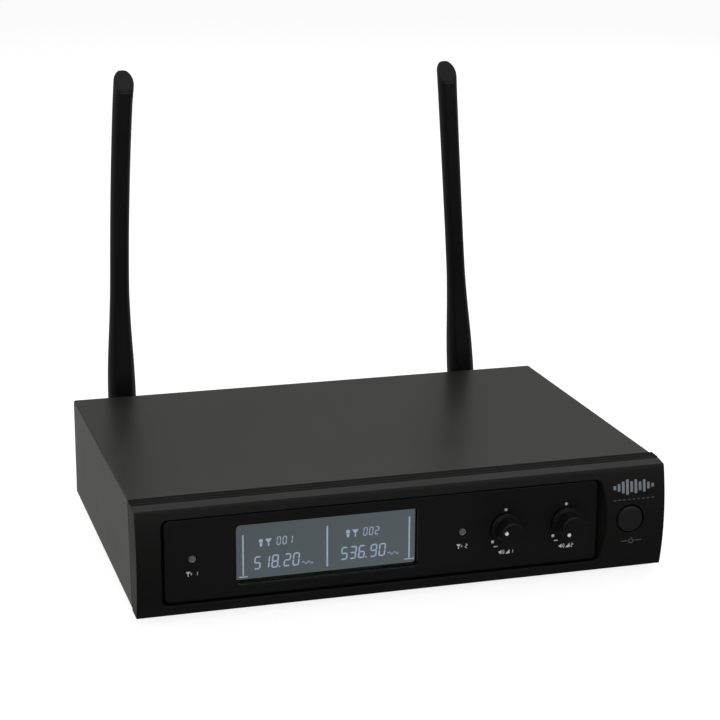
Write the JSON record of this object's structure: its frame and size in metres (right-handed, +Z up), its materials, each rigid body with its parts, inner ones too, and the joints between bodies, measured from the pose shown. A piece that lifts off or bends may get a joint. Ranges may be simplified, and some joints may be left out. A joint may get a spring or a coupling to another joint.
{
  "type": "wireless receiver unit",
  "caption": "Half-rack dual-channel radio microphone receiver: steel case, moulded front frame with display, turning volume knobs, push switch, folding rod antennas, rear audio sockets.",
  "frame": {"origin": "middle of the whole object's footprint, knobs and antennas included, on the surface that the feet stand on", "axes": "+X to the right as seen from the front, +Y to the rear panel, +Z up"},
  "size_m": [0.21, 0.1836, 0.1823],
  "materials": {
    "case_paint": "fine satin black powder coat",
    "frame_plastic": "moulded black ABS, fine spark texture",
    "button_plastic": "satin black moulded plastic",
    "panel_acrylic": "black back-printed acrylic, satin face",
    "display_glass": "clear cover glass",
    "display_backlight": "lit grey-blue liquid crystal display",
    "circuit_board": "green solder mask",
    "lamp_lens": "diffused grey lens, unlit",
    "insulator": "moulded black insulator",
    "tinplate": "tin-plated steel",
    "capacitor_sleeve": "shrink sleeve",
    "bare_aluminium": "satin aluminium",
    "nickel_plate": "satin nickel plate",
    "cable_jacket": "soft black jacket",
    "ribbon_jacket": "grey flat cable",
    "knob_plastic": "satin black moulded plastic",
    "pointer_white": "white moulded plastic",
    "black_metal": "black plated metal",
    "antenna_plastic": "satin black moulded whip",
    "zinc_steel": "zinc plated",
    "brass": "plain brass",
    "foot_rubber": "matt black rubber"
  },
  "bodies": {
    "receiver_case": {"top_cover": "case_paint", "bottom_tray": "case_paint", "front_bezel": "frame_plastic", "display_panel": "panel_acrylic", "lcd_glass": "display_glass", "lcd_backlight": "display_backlight", "front_board": "circuit_board", "main_board": "circuit_board", "led_rf_a": "lamp_lens", "led_rf_b": "lamp_lens", "pot_body_a": "insulator", "pot_body_b": "insulator", "power_switch_body": "insulator", "processor_chip": "insulator", "xlr_insert_a": "insulator", "xlr_insert_b": "insulator", "jack_socket": "insulator", "dc_inlet": "insulator", "tuner_shield_a": "tinplate", "tuner_shield_b": "tinplate", "filter_capacitor": "capacitor_sleeve", "regulator_heatsink": "bare_aluminium", "xlr_shell_a": "nickel_plate", "xlr_shell_b": "nickel_plate", "jack_nut": "nickel_plate", "antenna_connector_a": "nickel_plate", "antenna_connector_b": "nickel_plate", "antenna_nut_a": "nickel_plate", "antenna_nut_b": "nickel_plate", "coax_a": "cable_jacket", "coax_b": "cable_jacket", "ribbon_cable": "ribbon_jacket", "foot_front_left": "foot_rubber", "cover_screw_front_left": "black_metal", "board_standoff_front_left": "brass", "foot_front_right": "foot_rubber", "cover_screw_front_right": "black_metal", "board_standoff_front_right": "brass", "foot_rear_left": "foot_rubber", "cover_screw_rear_left": "black_metal", "board_standoff_rear_left": "brass", "foot_rear_right": "foot_rubber", "cover_screw_rear_right": "black_metal", "board_standoff_rear_right": "brass"},
    "volume_knob_a": {"knob_a": "knob_plastic", "knob_pointer_a": "pointer_white", "pot_shaft_a": "bare_aluminium"},
    "volume_knob_b": {"knob_b": "knob_plastic", "knob_pointer_b": "pointer_white", "pot_shaft_b": "bare_aluminium"},
    "power_button": {"power_button": "button_plastic", "switch_plunger": "pointer_white"},
    "antenna_a_swivel": {"antenna_collar_a": "black_metal"},
    "antenna_a_whip": {"antenna_whip_a": "antenna_plastic", "antenna_pin_a": "zinc_steel"},
    "antenna_b_swivel": {"antenna_collar_b": "black_metal"},
    "antenna_b_whip": {"antenna_whip_b": "antenna_plastic", "antenna_pin_b": "zinc_steel"}
  },
  "joints": [
    {"name": "volume_a", "type": "hinge", "parent": "receiver_case", "child": "volume_knob_a", "pos_m": [0.0394, -0.08315, 0.0233], "axis": [0, 1, 0], "range_deg": [-65, 205]},
    {"name": "volume_b", "type": "hinge", "parent": "receiver_case", "child": "volume_knob_b", "pos_m": [0.0644, -0.08315, 0.0233], "axis": [0, 1, 0], "range_deg": [0, 270]},
    {"name": "power_press", "type": "slide", "parent": "receiver_case", "child": "power_button", "axis": [0, 1, 0], "range_m": [0, 0.002], "stiffness_N_per_m": 600, "springref_m": -0.001},
    {"name": "antenna_a_turn", "type": "hinge", "parent": "receiver_case", "child": "antenna_a_swivel", "pos_m": [-0.0804, 0.06295, 0.0245], "axis": [0, 1, 0], "range_deg": [-90, 60]},
    {"name": "antenna_a_fold", "type": "hinge", "parent": "antenna_a_swivel", "child": "antenna_a_whip", "pos_m": [-0.0804, 0.08555, 0.0245], "axis": [-0.9995, 0, 0.0314], "range_deg": [0, 90]},
    {"name": "antenna_b_turn", "type": "hinge", "parent": "receiver_case", "child": "antenna_b_swivel", "pos_m": [0.0804, 0.06295, 0.0245], "axis": [0, 1, 0], "range_deg": [-60, 90]},
    {"name": "antenna_b_fold", "type": "hinge", "parent": "antenna_b_swivel", "child": "antenna_b_whip", "pos_m": [0.0804, 0.08555, 0.0245], "axis": [-0.9979, 0, -0.0654], "range_deg": [0, 90]}
  ]
}
